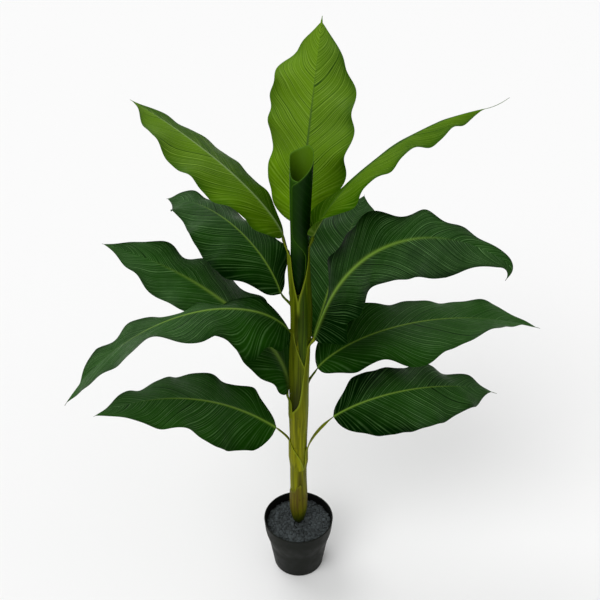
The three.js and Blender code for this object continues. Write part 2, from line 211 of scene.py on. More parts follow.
def addCoats(tree, base, coats):
    # lays coats of (share, colour) over a base, one after another
    for share, coat in coats:
        base = mixColour(tree, share, base, coat)
    return base


def addNoise(tree, scale, detail, stretch=(1, 1, 1), roughness=0.5):
    place = addNode(tree, "ShaderNodeTexCoord", {}, {}).outputs["Object"]
    mapping = addNode(tree, "ShaderNodeMapping", {}, {"Vector": place, "Scale": stretch}).outputs[0]
    inputs = {"Vector": mapping, "Scale": scale, "Detail": detail, "Roughness": roughness}
    return addNode(tree, "ShaderNodeTexNoise", {}, inputs).outputs[0]


def addLaneNoise(tree, lane, scale):
    # noise along one number, so that each whole count gets its own value
    inputs = {"W": lane, "Scale": scale, "Detail": 1.0}
    return addNode(tree, "ShaderNodeTexNoise", {"noise_dimensions": "1D"}, inputs).outputs[0]


def addBump(tree, height, strength, distance):
    inputs = {"Height": height, "Strength": strength, "Distance": distance}
    return addNode(tree, "ShaderNodeBump", {}, inputs).outputs[0]


def colour(red, green, blue):
    # screen values 0 to 255 to linear light
    screen = np.array([red, green, blue]) / 255
    linear = np.where(screen <= 0.04045, screen / 12.92, ((screen + 0.055) / 1.055) ** 2.4)
    return (*linear.tolist(), 1)


# Leaves: the blade's rule is that of the solids, carried to veins, rib and thin cloth.
# Lengths are shares of the blade (0 foot, 1 tip) or millimetres, turns are waves along the blade
leafRule = {
    "full": 0.56, "dripFrom": 0.84, "arch": 0.03, "cupEnd": 0.4, "nodFrom": 0.94, "stretchFrom": 0.8,
    "spineEnd": 1.25, "spinePoints": 1001, "shiftFoot": 0.7, "shiftFrom": 0.15, "shiftTo": 0.55,
    # waves of the blade and scallops of its margin, which die away at foot and tip
    "edgeTurns": 1.6, "curlTurns": 1.3, "rippleHeight": 7, "rippleTurns": 4.3, "wavePower": 1.5,
    "frillHeight": 1.1, "frillTurns": 9.6, "frillStart": 3, "frillPower": 3,
    "wakeFoot": 6, "wakeTip": 5, "lateFrom": 0.4, "lateTo": 0.75,
    # thread at the tip
    "threadRows": 6, "threadTaper": 40, "threadLeast": 0.3,
    # columns of points from rib to margin, and rows along the veins
    "across": [0, 0.012, 0.026, 0.045, 0.075, 0.12, 0.19, 0.28, 0.38, 0.49, 0.6, 0.71, 0.81, 0.9, 0.96,
               0.99, 1],
    "veinRows": 4, "veinSweep": 0.18, "veinSteep": 0.55, "veinPower": 1.1, "spreadFoot": 0.2,
    "spreadTip": 0.9,
    # veins: height of the quilting, and uneven spacing as [depth, turns in a vein, share of the start]
    "veinHeight": 0.2, "quiltIn": 9, "quiltOut": 3, "quiltHalf": 12,
    "uneven": [[0.25, 0.23, 1], [0.15, 0.41, 3]], "unevenStart": 5, "unevenSide": 2.5,
    # rib above, its keel below, and the cloth, thinner at the margin
    "ribShare": 0.75, "ribAdd": 0.4, "ribTip": 0.6, "ribUntil": 0.9, "ribHeight": 0.54,
    "ribTone": [0.95, 0.9], "keel": 2.2, "keelShare": 1.3, "keelAdd": 0.3, "keelFrom": 0.7,
    "cloth": 0.8, "thinBy": 0.55, "thinPower": 4,
    # tone: brighter along the rib, darker at the margin, and painted shade at the foot near the cane;
    # fainter lines and less sheen near the foot
    "toneRib": 0.22, "toneEdge": 0.25, "toneEdgeFrom": 0.75, "footReach": 0.35,
    "linesFoot": 0.5, "linesFrom": 0.02, "sheenFrom": 0.05, "sheenTo": 0.4,
}

# What a leaf has where its own row says nothing; a pair is left and right of the rib
leafPlain = {
    "slim": 0.92, "drip": 0.35, "tipHalf": 0.55, "ribWide": 1, "hook": 0, "nod": 0, "stretch": 0,
    "footShift": [0, 0, 0], "broad": [0, 0], "cup": [0, 0], "late": [0, 0], "calm": [1, 1], "lean": [1, 1],
    "sheen": [1, 1], "edge": [[0, 0, 0, 0, 0], [0, 0, 0, 0, 0]],
}

# rise and fall: slope of the rib at foot and tip; turn and sweep: its bearing and how far that swings;
# roll and twist: tilt about the rib; edge: [slow depth, start, quick depth, turns, start] on each side;
# clasp: the leaf's sheath on the cane, its margins left and right as [height, bearing]
leafTable = [
    # the crown's tone pair paints its left half brighter and its right half darker: painted light falling
    # from the left
    {"name": "crown", "look": "young", "base": [-0.4, 70, 755.5], "length": 333, "rise": 66, "fall": 74,
     "bend": 1, "turn": 74, "sweep": -8, "roll": 14, "twist": -17, "half": [82, 81], "fold": [-3, -2],
     "slim": 0.8, "drip": 0.1, "curl": 14, "phase": [0.35, 0.77, 0.12, 0.58], "neck": 4, "thread": 10,
     "tipHalf": 1.7, "tone": [0.7, 0.4], "late": [1, 0.45],
     "edge": [[6, 0.09, 4, 7, 0.86], [1, 0.09, 4.5, 4.8, 0.01]],
     "clasp": {"low": 660.3, "top": 690, "turn": 90, "wrap": 26, "inset": 7.2}},
    {"name": "upper_left", "look": "paleRib", "base": [-24, 6, 766], "length": 351, "rise": 82, "fall": 15,
     "bend": 0.35, "turn": 159, "sweep": -14, "roll": -7, "twist": 3, "half": [77, 66], "fold": [-7, -14],
     "calm": [1, 0.4], "curl": 7, "phase": [0.12, 0.02, 0.2, 0.4], "neck": 3.5, "thread": 5,
     "tone": [0.4, -0.2], "edge": [[4, 0.04, 2, 4.8, 0.97], [3, 0.35, 3, 3.4, 0.35]],
     "clasp": {"low": 560, "top": 735, "turn": 186, "open": 38, "slimBy": 0.3, "foot": 0.2, "fresh": 0.72,
               "rimShade": [615, -1, 0.6], "left": [[560, 91], [657, 100], [700, 125], [735, 148]],
               "right": [[560, 250], [600, 250], [650, 257], [692, 235], [735, 224]]}},
    {"name": "upper_right", "look": "young", "base": [23.3, -16, 778], "length": 364, "rise": 65, "fall": 4,
     "bend": 0.73, "turn": 26, "sweep": -7, "roll": 14, "twist": -24, "half": [40, 53], "fold": [-29, 0],
     "cup": [47, 45], "broad": [26, 27], "calm": [0.15, 1], "curl": 6, "phase": [0.75, 0.68, 0.79, 0.86],
     "neck": 4, "thread": 42, "hook": 11, "tone": [-0.1, 0.2], "sheen": [0.1, 0.3],
     "clasp": {"low": 520, "top": 742, "turn": 358, "foot": 0.3, "keel": 0.6, "rimShade": [615, 1, 0.3],
               "left": [[520, 285], [550, 262], [585, 250], [645, 252], [657, 258], [680, 283], [700, 307],
                        [727, 334], [742, 340.5]],
               "right": [[520, 449], [650, 449], [742, 375.5]]}},
    {"name": "shoulder_left", "look": "mature", "base": [-30, 21, 646], "length": 328, "rise": 70,
     "fall": -19, "bend": 0.71, "turn": 138, "sweep": 1, "roll": -11, "twist": 27, "half": [79, 63],
     "fold": [-12, -12], "curl": 14, "phase": [0.28, 0.01, 0.89, 0.4], "neck": 2.2, "thread": 4,
     "tone": [0.6, 0.6], "edge": [[2, 0.86, 4, 3.9, 0.11], [2, 0.04, 3, 6.9, 0.28]],
     "clasp": {"low": 572, "top": 618, "turn": 138, "wrap": 20}},
    {"name": "shoulder_back", "look": "mature", "base": [26, 36, 549], "length": 300, "rise": 64, "fall": 16,
     "bend": 0.84, "turn": 56, "sweep": 15, "roll": 21, "twist": -28, "half": [106, 83], "fold": [-7, -1],
     "footShift": [1.5, 0, -10.5], "curl": 6, "phase": [0.37, 0.82, 0.33, 0.57], "neck": 3, "thread": 4,
     "tone": [0.8, 0.8], "edge": [[2, 0.3, 3, 4.6, 0.1], [4, 0.8, 6, 3.9, 0.61]],
     "clasp": {"low": 500, "top": 536, "turn": 54, "wrap": 26}},
    {"name": "shoulder_right", "look": "mature", "base": [27, -19, 582], "length": 446, "rise": 74,
     "fall": -27, "bend": 1.61, "turn": 339, "sweep": -11, "roll": -8, "twist": -16, "half": [64, 83],
     "fold": [19, -28], "cup": [-26, 0], "broad": [9, 0], "ribWide": 1.5, "nod": -85, "stretch": 0.42,
     "spacing": 3.7, "curl": 15, "phase": [0.74, 0.63, 0.19, 0.2], "neck": 4.5, "thread": 4,
     "tone": [0.3, 0.2], "sheen": [0.5, 0.8], "lean": [0.55, 1.05],
     "edge": [[3, 0.26, 5, 6.8, 0.73], [5, 0.86, 5, 3.6, 0.68]],
     "clasp": {"low": 320, "top": 548, "turn": 332, "fresh": 0.3, "keel": 0.55,
               "left": [[320, 150], [386, 172], [398, 198], [411, 240], [424, 270], [460, 288], [507, 301],
                        [535, 312], [548, 314.5]],
               "right": [[320, 480], [460, 440], [548, 349.5]]}},
    {"name": "middle_back", "look": "mature", "base": [-22, 4, 443], "length": 457, "rise": 105, "fall": 8,
     "bend": 0.45, "turn": 163, "sweep": 2, "roll": -13, "twist": 35, "half": [79, 86], "fold": [-9, -7],
     "cup": [0, 18], "ribWide": 2.0, "footShift": [4.5, 3, 0], "curl": 6, "phase": [0.69, 0.08, 0.71, 0.72],
     "neck": 4.2, "thread": 4, "tone": [0.75, 0.6], "footShade": 0.05, "sheen": [0.8, 0.6],
     "edge": [[2, 0.97, 3, 6.9, 0.04], [4, 0.72, 7, 7, 0.8]],
     "clasp": {"low": 372, "top": 426, "turn": 200, "wrap": 46, "lean": 8, "open": 24, "slimBy": 1.6}},
    {"name": "middle_left", "look": "mature", "base": [-14, -12, 588], "length": 455, "rise": 64,
     "fall": -53, "bend": 0.7, "turn": 202, "sweep": 1, "roll": 10, "twist": -41, "half": [96, 57],
     "fold": [-7, -5], "curl": 17, "phase": [0.45, 0.25, 0.52, 0.59], "neck": 4.5, "thread": 6,
     "tone": [0.75, 0.6], "footShade": 0.2, "edge": [[8, 0.99, 11, 5, 0.86], [2, 0.42, 6, 6.8, 0.69]],
     "clasp": {"low": 405, "top": 588, "turn": 204, "foot": 0.75, "fresh": 0.62, "shade": [400, 520],
               "left": [[405, 140], [518, 176], [560, 183], [588, 186.5]],
               "right": [[405, 400], [477, 350], [518, 296], [545, 262], [563, 240], [588, 221.5]]}},
    {"name": "middle_right", "look": "mature", "base": [35, 9, 494], "length": 448, "rise": 59, "fall": -23,
     "bend": 0.51, "turn": 11, "sweep": 1, "roll": -10, "twist": 19, "half": [72, 86], "fold": [8, -2],
     "curl": 12, "phase": [0.12, 0.17, 0, 0.17], "neck": 2, "thread": 10, "tone": [1, 1],
     "edge": [[3, 0.79, 5, 4.8, 0.15], [7, 0.55, 8, 3.4, 0.78]],
     "clasp": {"low": 418, "top": 442, "turn": 34, "wrap": 14}},
    {"name": "lower_left", "look": "mature", "base": [-42, -9, 368], "length": 368, "rise": 45, "fall": -4,
     "bend": 1.36, "turn": 197, "sweep": 16, "roll": 31, "twist": -30, "half": [84, 70], "fold": [-9, -9],
     "calm": [0.5, 1], "ribWide": 1.35, "curl": 6, "phase": [0.49, 0.98, 0.55, 0.55], "neck": 2, "thread": 4,
     "tone": [1, 1], "edge": [[3, 0.78, 5, 3, 0.02], [5, 0.38, 4, 3, 0.81]],
     "clasp": {"low": 262, "top": 330, "turn": 192, "spring": 0.35,
               "left": [[262, 80], [300, 130], [330, 174.5]],
               "right": [[262, 314], [276, 300], [297, 279], [316, 243.5], [330, 209.5]]}},
    {"name": "lower_right", "look": "mature", "base": [65, -17, 401], "length": 338, "rise": 39, "fall": -32,
     "bend": 0.82, "turn": 3, "sweep": 21, "roll": -19, "twist": -2, "half": [69, 79], "fold": [-13, -7],
     "curl": 7, "phase": [0.95, 0.11, 0.6, 0.96], "neck": 2.2, "thread": 16, "tone": [0.6, 0.6],
     "footShade": 0.7, "edge": [[4, 0.15, 6, 3, 0.52], [2, 0, 3, 3.8, 0.16]],
     "clasp": {"low": 262, "top": 306, "turn": 338, "slimBy": 1.3, "spring": 0.35,
               "left": [[262, 309], [280, 316], [306, 320.5]],
               "right": [[262, 372], [285, 362], [306, 355.5]]}},
]
leaves = [{**leafPlain, **leaf} for leaf in leafTable]

# Leaf cloth: noise scales, and ranges as (from low, from high, to low, to high)
clothRule = {
    "patches": 16, "wornScale": 40, "grain": 120, "weave": 1400, "bump": (0.12, 0.0004),
    "sideLane": 67.3, "paleLane": 0.83, "darkLane": 0.61, "darkShift": 31.7,
    "paleWide": (0.04, 0.24), "darkWide": (0.03, 0.22), "grainRange": (0.3, 0.7),
    "paleOwn": (0.35, 0.65, 0.35, 1.25), "darkOwn": (0.42, 0.7, 0.15, 1.3), "worn": (0.3, 0.7, 0.55, 1.15),
    "fade": (0.8, 1.0, 1.0, 0.35), "back": (0.35, 0.65, 0.0, 1.0),
}
youngLook = {
    "slot": "leaf_young", "deep": colour(44, 80, 1), "bright": colour(98, 136, 12),
    "pale": colour(132, 164, 62), "dark": colour(34, 66, 4), "rib": colour(62, 92, 30),
    "under": colour(84, 116, 30), "underDeep": colour(62, 96, 16), "ribUnder": colour(128, 152, 70),
    "paleStrength": 0.5, "darkStrength": 0.75, "patchy": 0.8, "rough": (0.45, 0.6), "gloss": 0.08,
    "spacing": 4.6, "groove": -1, "ribFrom": 0.5, "ribTo": 0.9, "footShade": 0.08,
}
matureLook = {
    "slot": "leaf_mature", "deep": colour(3, 27, 1), "bright": colour(28, 70, 8),
    "pale": colour(88, 126, 72), "dark": colour(2, 18, 1), "rib": colour(112, 146, 52),
    "under": colour(46, 82, 28), "underDeep": colour(26, 58, 12), "ribUnder": colour(94, 126, 56),
    "paleStrength": 0.6, "darkStrength": 0.55, "patchy": 1.1, "rough": (0.41, 0.56), "gloss": 0.09,
    "spacing": 5.0, "groove": 1, "ribFrom": 0.4, "ribTo": 0.85, "footShade": 0.42,
}
leafLooks = {
    "young": youngLook,
    "paleRib": dict(youngLook, rib=colour(128, 152, 96), ribFrom=0.7, ribTo=1.0),
    "mature": matureLook,
}


def leafFinish(name, look):
    # pale lines at whole vein counts and dark ones between, each with its own strength from a noise over
    # the count, on cloth from deep to bright; the underside has its own colours
    rule = clothRule
    finish, tree, shader = startFinish(name)
    vein, across, rib, under, tone, lines, sheen = readMarks(
        tree, "vein", "across", "rib", "under", "tone", "lines", "sheen")
    patches = addNoise(tree, rule["patches"], 3)
    lane = doMath(tree, "MULTIPLY_ADD", doMath(tree, "GREATER_THAN", across, 0.0), rule["sideLane"], vein)
    darkLane = doMath(tree, "ADD", lane, rule["darkShift"])
    paleOwn = mapRange(tree, addLaneNoise(tree, lane, rule["paleLane"]), *rule["paleOwn"])
    darkOwn = mapRange(tree, addLaneNoise(tree, darkLane, rule["darkLane"]), *rule["darkOwn"])
    paleWave = doMath(tree, "PINGPONG", vein, 0.5)
    darkWave = doMath(tree, "PINGPONG", doMath(tree, "ADD", vein, 0.5), 0.5)
    paleLine = times(tree, mapRange(tree, paleWave, *rule["paleWide"], look["paleStrength"], 0.0), paleOwn)
    darkLine = times(tree, mapRange(tree, darkWave, *rule["darkWide"], look["darkStrength"], 0.0), darkOwn)
    fade = mapRange(tree, doMath(tree, "ABSOLUTE", across), *rule["fade"])
    worn = mapRange(tree, addNoise(tree, rule["wornScale"], 2), *rule["worn"])
    fade = times(tree, times(tree, fade, worn), lines)
    paleLine = times(tree, paleLine, fade)
    darkLine = times(tree, darkLine, fade)
    shade = doMath(tree, "MULTIPLY_ADD", doMath(tree, "SUBTRACT", patches, 0.5), look["patchy"], tone)
    cloth = mixColour(tree, shade, look["deep"], look["bright"])
    cloth = addCoats(tree, cloth, [(darkLine, look["dark"]), (paleLine, look["pale"]), (rib, look["rib"])])
    back = mixColour(tree, mapRange(tree, patches, *rule["back"]), look["underDeep"], look["under"])
    back = addCoats(tree, back, [(darkLine, look["underDeep"]), (paleLine, look["ribUnder"]),
                                 (rib, look["ribUnder"])])
    grain = addNoise(tree, rule["grain"], 3)
    plug(tree, shader, {
        "Base Color": mixColour(tree, under, cloth, back),
        "Roughness": mapRange(tree, grain, *rule["grainRange"], *look["rough"]),
        "Specular IOR Level": times(tree, sheen, look["gloss"]),
        "Normal": addBump(tree, addNoise(tree, rule["weave"], 2), *rule["bump"]),
    })
    return finish


def leafOutline(leaf, s):
    # share of the greatest width at s along the blade, drawn in to a drip point near the tip
    full, slim = leafRule["full"], leaf["slim"]
    peak = full / (full + slim)
    top = peak ** full * (1 - peak) ** slim
    inside = np.clip(s, 0, 1)
    drawnIn = 1 - leaf["drip"] * easeStep(inside, leafRule["dripFrom"], 1.0)
    return inside ** full * (1 - inside) ** slim / top * drawnIn


def leafSlope(leaf, s):
    # slope of the midrib at s along the blade; some tips nod at their very end
    nod = leaf["nod"] * easeStep(s, leafRule["nodFrom"], 1.0)
    return leaf["rise"] + (leaf["fall"] - leaf["rise"]) * s ** leaf["bend"] + nod


def leafSpine(leaf, s):
    # point of the midrib at s along the blade: the running sum of its own direction, shifted near the foot,
    # with a hooked thread past the tip
    rule = leafRule
    fine = np.linspace(0, rule["spineEnd"], rule["spinePoints"])
    centre = np.clip((fine[1:] + fine[:-1]) / 2, 0, 1)
    steps, _, _ = ribFrame(leafSlope(leaf, centre), leaf["turn"] + leaf["sweep"] * centre, 0 * centre)
    drawn = 1 + leaf["stretch"] * easeStep(centre, rule["stretchFrom"], rule["nodFrom"])
    path = np.concatenate([np.zeros((1, 3)), np.cumsum(steps * (drawn * np.diff(fine))[:, None], axis=0)])
    path = path * leaf["length"] + np.array(leaf["base"])
    spine = np.stack([np.interp(s, fine, path[:, k]) for k in range(3)], axis=-1)
    shift = blend(rule["shiftFoot"], 1, easeStep(s, 0, rule["shiftFrom"]))
    shift = shift * (1 - easeStep(s, rule["shiftFrom"], rule["shiftTo"]))
    spine = spine + np.array(leaf["footShift"]) * shift[..., None]
    past = np.clip((s - 1) * leaf["length"] / leaf["thread"], 0, 1)
    spine[..., 2] += leaf["hook"] * past ** 2
    return spine


def leafHalf(leaf, s, side, awake):
    # half width at s: the outline over a slim thread, broadened near the foot, with scallops in the margin
    rule = leafRule
    inside = np.clip(s, 0, 1)
    thread = blend(leaf["neck"], leaf["tipHalf"], inside)
    half = np.hypot(pickSide(side, leaf["half"]) * leafOutline(leaf, s), thread)
    nearFoot = np.clip(inside / rule["cupEnd"], 0, 1)
    half = half + pickSide(side, leaf["broad"]) * np.sin(np.pi * np.sqrt(nearFoot))
    threadLeft = (1 + leaf["thread"] / leaf["length"] - s) * rule["threadTaper"]
    half = half * np.where(s > 1, np.clip(threadLeft, rule["threadLeast"], 1), 1)
    slowDepth, slowStart, quickDepth, quickTurns, quickStart = [
        pickSide(side, pair) for pair in zip(*leaf["edge"])]
    early = 1 - easeStep(s, rule["lateFrom"], rule["lateTo"])
    quickDepth = quickDepth * (1 - pickSide(side, leaf["late"]) * early)
    return half + awake * (slowDepth * wave(rule["edgeTurns"] * s + slowStart)
                           + quickDepth * wave(quickTurns * s + quickStart))


def leafPoint(leaf, s, b, side):
    # point of the blade's middle surface at s along and b across (0 rib, 1 margin) on one side, the blade's
    # upward direction there and its half width; reach = b * half * cos(fold), and the lift is the fold's
    # b * half * sin(fold) with an arch, waves that grow as a power of b, and a frill at the margin
    rule = leafRule
    inside = np.clip(s, 0, 1)
    _, right, up = ribFrame(leafSlope(leaf, inside), leaf["turn"] + leaf["sweep"] * inside,
                            leaf["roll"] + leaf["twist"] * inside)
    awake = np.minimum(1, rule["wakeFoot"] * inside) * np.minimum(1, rule["wakeTip"] * (1 - inside))
    half = leafHalf(leaf, s, side, awake)
    cup = pickSide(side, leaf["cup"]) * np.clip(1 - inside / rule["cupEnd"], 0, 1) ** 2
    fold = np.radians(pickSide(side, leaf["fold"]) + cup)
    longStart, shortStart = pickSide(side, leaf["phase"][:2]), pickSide(side, leaf["phase"][2:])
    longWave = leaf["curl"] * wave(rule["curlTurns"] * s + longStart)
    shortWave = rule["rippleHeight"] * wave(rule["rippleTurns"] * s + shortStart)
    frill = rule["frillHeight"] * wave(rule["frillTurns"] * s + rule["frillStart"] * shortStart)
    waves = awake * pickSide(side, leaf["calm"])
    lift = b ** rule["wavePower"] * waves * (longWave + shortWave) + b ** rule["frillPower"] * waves * frill
    lift = lift + b * half * np.sin(fold) + rule["arch"] * half * np.sin(np.pi * b) * awake
    reach = np.where(side == 0, -1, 1) * b * half * np.cos(fold)
    return leafSpine(leaf, s) + right * reach[..., None] + up * lift[..., None], up, half


def addLeaf(leaf, look, finish):
    # rows follow the veins: one that leaves the rib at a lies at
    # s = a + lean * (sweep + steep * a) * spread(a) * b^power, where spread dies away at both ends
    rule = leafRule
    veins = round(leaf["length"] / leaf.get("spacing", look["spacing"]))
    threadRows = np.linspace(0, 1, rule["threadRows"] + 1)[1:]
    a = np.concatenate([np.linspace(0, 1, veins * rule["veinRows"] + 1),
                        1 + leaf["thread"] / leaf["length"] * threadRows])
    across = np.array(rule["across"])
    b = np.concatenate([across[:0:-1], across])[None, :] + 0 * a[:, None]
    side = np.where(np.arange(b.shape[1]) < len(across) - 1, 0, 1)[None, :] + 0 * a[:, None]
    a = a[:, None] + 0 * b
    fromFoot = 1 - (1 - np.clip(a / rule["spreadFoot"], 0, 1)) ** 2
    spread = fromFoot * (1 - np.clip(a, 0, 1)) ** rule["spreadTip"]
    sweep = rule["veinSweep"] + rule["veinSteep"] * a
    s = a + pickSide(side, leaf["lean"]) * sweep * spread * b ** rule["veinPower"]
    s = np.where(a <= 1, np.minimum(s, 1), a)
    points, up, half = leafPoint(leaf, s, b, side)
    # vein count along the rib, with a different uneven spacing on each side
    start = rule["unevenStart"] * leaf["tone"][0] + rule["unevenSide"] * side
    vein = a * veins + 0.5 * side
    for depth, turns, startShare in rule["uneven"]:
        vein = vein + depth * wave(turns * a * veins + startShare * start)
    # rib: a raised line that thins out and is lost towards the tip; between veins the cloth is quilted
    ribFoot = rule["ribShare"] * leaf["neck"] + rule["ribAdd"]
    ribHalf = blend(ribFoot, rule["ribTip"], np.clip(a / rule["ribUntil"], 0, 1)) * leaf["ribWide"]
    rib = bell(b * half, ribHalf) * (1 - easeStep(a, look["ribFrom"], look["ribTo"]))
    quilt = look["groove"] * rule["veinHeight"] * np.cos(2 * np.pi * vein)
    quilt = quilt * np.clip(b * rule["quiltIn"], 0, 1) * (1 - b ** rule["quiltOut"])
    quilt = quilt * np.clip(half / rule["quiltHalf"], 0, 1)
    upper = points + up * (quilt + rule["ribHeight"] * rib)[..., None]
    cloth = rule["cloth"] * (1 - rule["thinBy"] * b ** rule["thinPower"])
    keel = rule["keel"] * bell(b * half, ribHalf * rule["keelShare"] + rule["keelAdd"])
    keel = keel * (1 - easeStep(a, rule["keelFrom"], 1))
    lower = upper - up * (cloth + keel)[..., None]
    tone = pickSide(side, leaf["tone"]) + rule["toneRib"] * (1 - b)
    tone = tone - rule["toneEdge"] * easeStep(b, rule["toneEdgeFrom"], 1)
    # painted shade: the blade is darkened near its foot, where the cane and the stalks shade it
    tone = tone - leaf.get("footShade", look["footShade"]) * (1 - easeStep(a, 0, rule["footReach"]))
    marks = {
        "vein": vein, "across": b * (2 * side - 1), "tone": tone, "under": (0 * a, 0 * a + 1),
        "rib": (rib * rule["ribTone"][0], rib * rule["ribTone"][1]),
        "lines": blend(rule["linesFoot"], 1, easeStep(a, rule["linesFrom"], rule["footReach"])),
        "sheen": pickSide(side, leaf["sheen"]) * easeStep(a, rule["sheenFrom"], rule["sheenTo"]),
    }
    name = leaf["name"]
    return addSkin("blade_" + name, upper, lower, marks, finish, ["leaf_" + name])


leafCloths = {lookName: leafFinish(lookName + "LeafCloth", look) for lookName, look in leafLooks.items()}
for leaf in leaves:
    addLeaf(leaf, leafLooks[leaf["look"]], leafCloths[leaf["look"]])
print("stage: eleven blades")


# Cane: [height, radius], slimmer at its foot than the solid, ridged by the fibres of its old sheaths.
# ridges: [depth, count round the cane, slant]; a mark is full at its bearing and fades to its sides,
# between the heights where it comes and goes
caneShape = {
    "profile": np.array([[104.3, 2.5], [108, 4], [111, 5.4], [114.5, 8], [118, 10.3], [125, 12], [132, 13.3],
                         [143, 15.1], [154, 16.2], [178, 16.6], [640, 16.7], [652, 15.4], [660, 12.5]]),
    "shoulder": 640, "sides": 128, "rows": 300, "slim": 0.7, "bend": 5.5, "bendHeight": 610, "bendReach": 80,
    "fibre": 0.16, "ridges": [[1, 23, 0.02], [0.7, 37, -0.013], [0.5, 11, 0]],
    "swell": 0.5, "swellEvery": 31, "swellTurn": 90, "greenFrom": [370, 460],
}
caneMarks = {
    # painted shade in a recess between the sheaths and in a notch above the foot sheath; painted light on
    # the front left, which loses fresh green
    "hollowShade": {"bearing": 238, "fade": [60, 100], "from": [385, 400], "until": [430, 510], "by": 1},
    "lit": {"bearing": 225, "fade": [30, 55], "from": [520, 560], "until": [615, 640], "by": 0.7},
    "strip": {"bearing": 283, "reach": 16, "until": [235, 275], "by": 1},
    "cleftShade": {"bearing": 281, "reach": 11, "until": [255, 275], "by": 0.55},
    "seam": {"bearing": 317, "reach": 5, "from": [262, 275], "by": 0.5},
}
stemLook = {
    "deep": colour(78, 82, 1), "bright": colour(132, 134, 8), "freshDeep": colour(28, 48, 1),
    "freshBright": colour(72, 96, 4), "edge": colour(128, 142, 32), "shade": colour(24, 30, 2),
    "dry": colour(78, 66, 20), "spot": colour(58, 46, 14), "edgeShare": 0.7, "rough": (0.39, 0.57),
    "gloss": 0.06,
    # noises as (scale, detail, stretch, roughness), ranges as (from low, from high, to low, to high)
    "fibre": (330, 3, (1, 1, 0.02), 0.6), "broad": (95, 2, (1, 1, 0.06)), "spots": (190, 2, (1, 1, 0.4)),
    "fibreShare": 0.9, "broadShare": 0.5, "streak": (0.45, 0.95, 0.0, 1.0), "brown": (0.35, 0.65, 0.0, 0.4),
    "spotted": (0.66, 0.76, 0.0, 0.6), "roughRange": (0.3, 0.7), "bump": (0.35, 0.0006),
}


def stemFinish(name):
    # fibres run up the stem; marks: edge is a pale rim and also painted light on the sheaths' sides, green
    # the share of fresh colour, dry of brown, shade of painted shade
    look = stemLook
    finish, tree, shader = startFinish(name)
    edge, green, dry, shade = readMarks(tree, "edge", "green", "dry", "shade")
    fibre, broad, spots = [addNoise(tree, *look[key]) for key in ("fibre", "broad", "spots")]
    fine, coarse = times(tree, fibre, look["fibreShare"]), times(tree, broad, look["broadShare"])
    streak = mapRange(tree, doMath(tree, "ADD", fine, coarse), *look["streak"])
    base = mixColour(tree, streak, look["deep"], look["bright"])
    base = mixColour(tree, green, base, mixColour(tree, streak, look["freshDeep"], look["freshBright"]))
    brown = mixColour(tree, mapRange(tree, fibre, *look["brown"]), look["dry"], base)
    base = addCoats(tree, base, [
        (dry, brown), (mapRange(tree, spots, *look["spotted"]), look["spot"]),
        (times(tree, edge, look["edgeShare"]), look["edge"]), (shade, look["shade"])])
    plug(tree, shader, {
        "Base Color": base, "Roughness": mapRange(tree, broad, *look["roughRange"], *look["rough"]),
        "Specular IOR Level": look["gloss"], "Normal": addBump(tree, fibre, *look["bump"]),
    })
    return finish


stemCloth = stemFinish("stemSheath")


def caneRadius(height):
    return np.interp(height, caneShape["profile"][:, 0], caneShape["profile"][:, 1])


def caneShift(height):
    # the cane bends aside once: shift along X at a height
    return caneShape["bend"] * bell(height - caneShape["bendHeight"], caneShape["bendReach"])


def caneMark(mark, bearing, height):
    away = np.abs(bearingGap(bearing, mark["bearing"]))
    share = bell(away, mark["reach"]) if "reach" in mark else 1 - easeStep(away, *mark["fade"])
    share = share * mark["by"] + 0 * height
    if "from" in mark:
        share = share * easeStep(height, *mark["from"])
    if "until" in mark:
        share = share * (1 - easeStep(height, *mark["until"]))
    return share


def addCane():
    # radius over bearing and height: the profile, upright ridges and a slow swell
    shape = caneShape
    height = np.linspace(shape["profile"][0, 0], shape["profile"][-1, 0], shape["rows"])[:, None]
    bearing = np.linspace(0, 360, shape["sides"], endpoint=False)[None, :]
    turn = np.radians(bearing)
    ridges = sum(depth * np.sin(count * turn + slant * height) for depth, count, slant in shape["ridges"])
    swell = np.sin(height / shape["swellEvery"]) * np.cos(turn + height / shape["swellTurn"])
    radius = caneRadius(height) - shape["slim"] + shape["fibre"] * ridges + shape["swell"] * swell
    x, y = radius * np.cos(turn) + caneShift(height), radius * np.sin(turn)
    body = np.stack([x, y, height + 0 * radius], axis=-1)
    ends = np.array([[0, 0, height[0, 0]], [caneShift(height[-1, 0]), 0, height[-1, 0]]])
    hollowShade, lit, strip, cleftShade, seam = [
        caneMark(caneMarks[key], bearing, height) for key in ("hollowShade", "lit", "strip", "cleftShade", "seam")]
    # painted light: where light falls on the front left the cane keeps less fresh green and is paler
    green = easeStep(height, *shape["greenFrom"]) * (1 - lit)
    grids = {"edge": seam, "green": green, "dry": strip, "shade": hollowShade + cleftShade}
    marks = {key: np.concatenate([grid.ravel(), [0, 0]]) for key, grid in grids.items()}
    return addTube("cane_skin", body, ends, marks, stemCloth, ["cane"])


addCane()
print("stage: cane")


